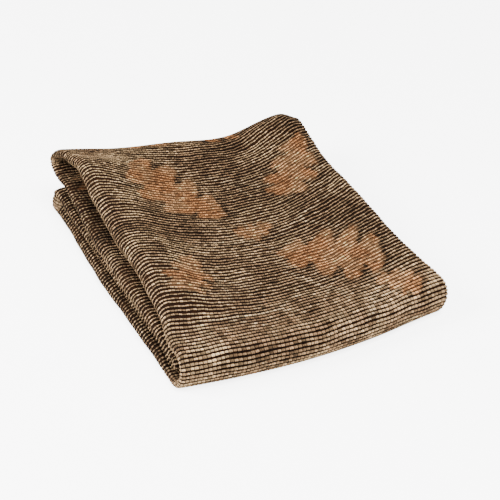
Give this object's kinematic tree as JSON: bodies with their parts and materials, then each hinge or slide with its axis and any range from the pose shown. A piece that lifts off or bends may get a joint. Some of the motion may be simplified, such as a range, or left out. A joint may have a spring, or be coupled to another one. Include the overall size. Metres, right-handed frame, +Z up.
{
  "type": "folded camouflage net",
  "caption": "Coarse ribbed camouflage net in leaf colours, folded back and forth into a flat bundle with a raised open fold at its back.",
  "frame": {"origin": "centre of the bounding box's bottom, on the surface that the folded net lies on", "axes": "+Z up; +Y from the large front fold towards the open folds at the back; +X to the right, seen from the front"},
  "size_m": [0.2966, 0.3746, 0.0876],
  "materials": {
    "net_fabric": "matt ribbed knit net, printed on one side in tan, dark brown and rust"
  },
  "bodies": {
    "root": {"net": "net_fabric"}
  },
  "joints": []
}
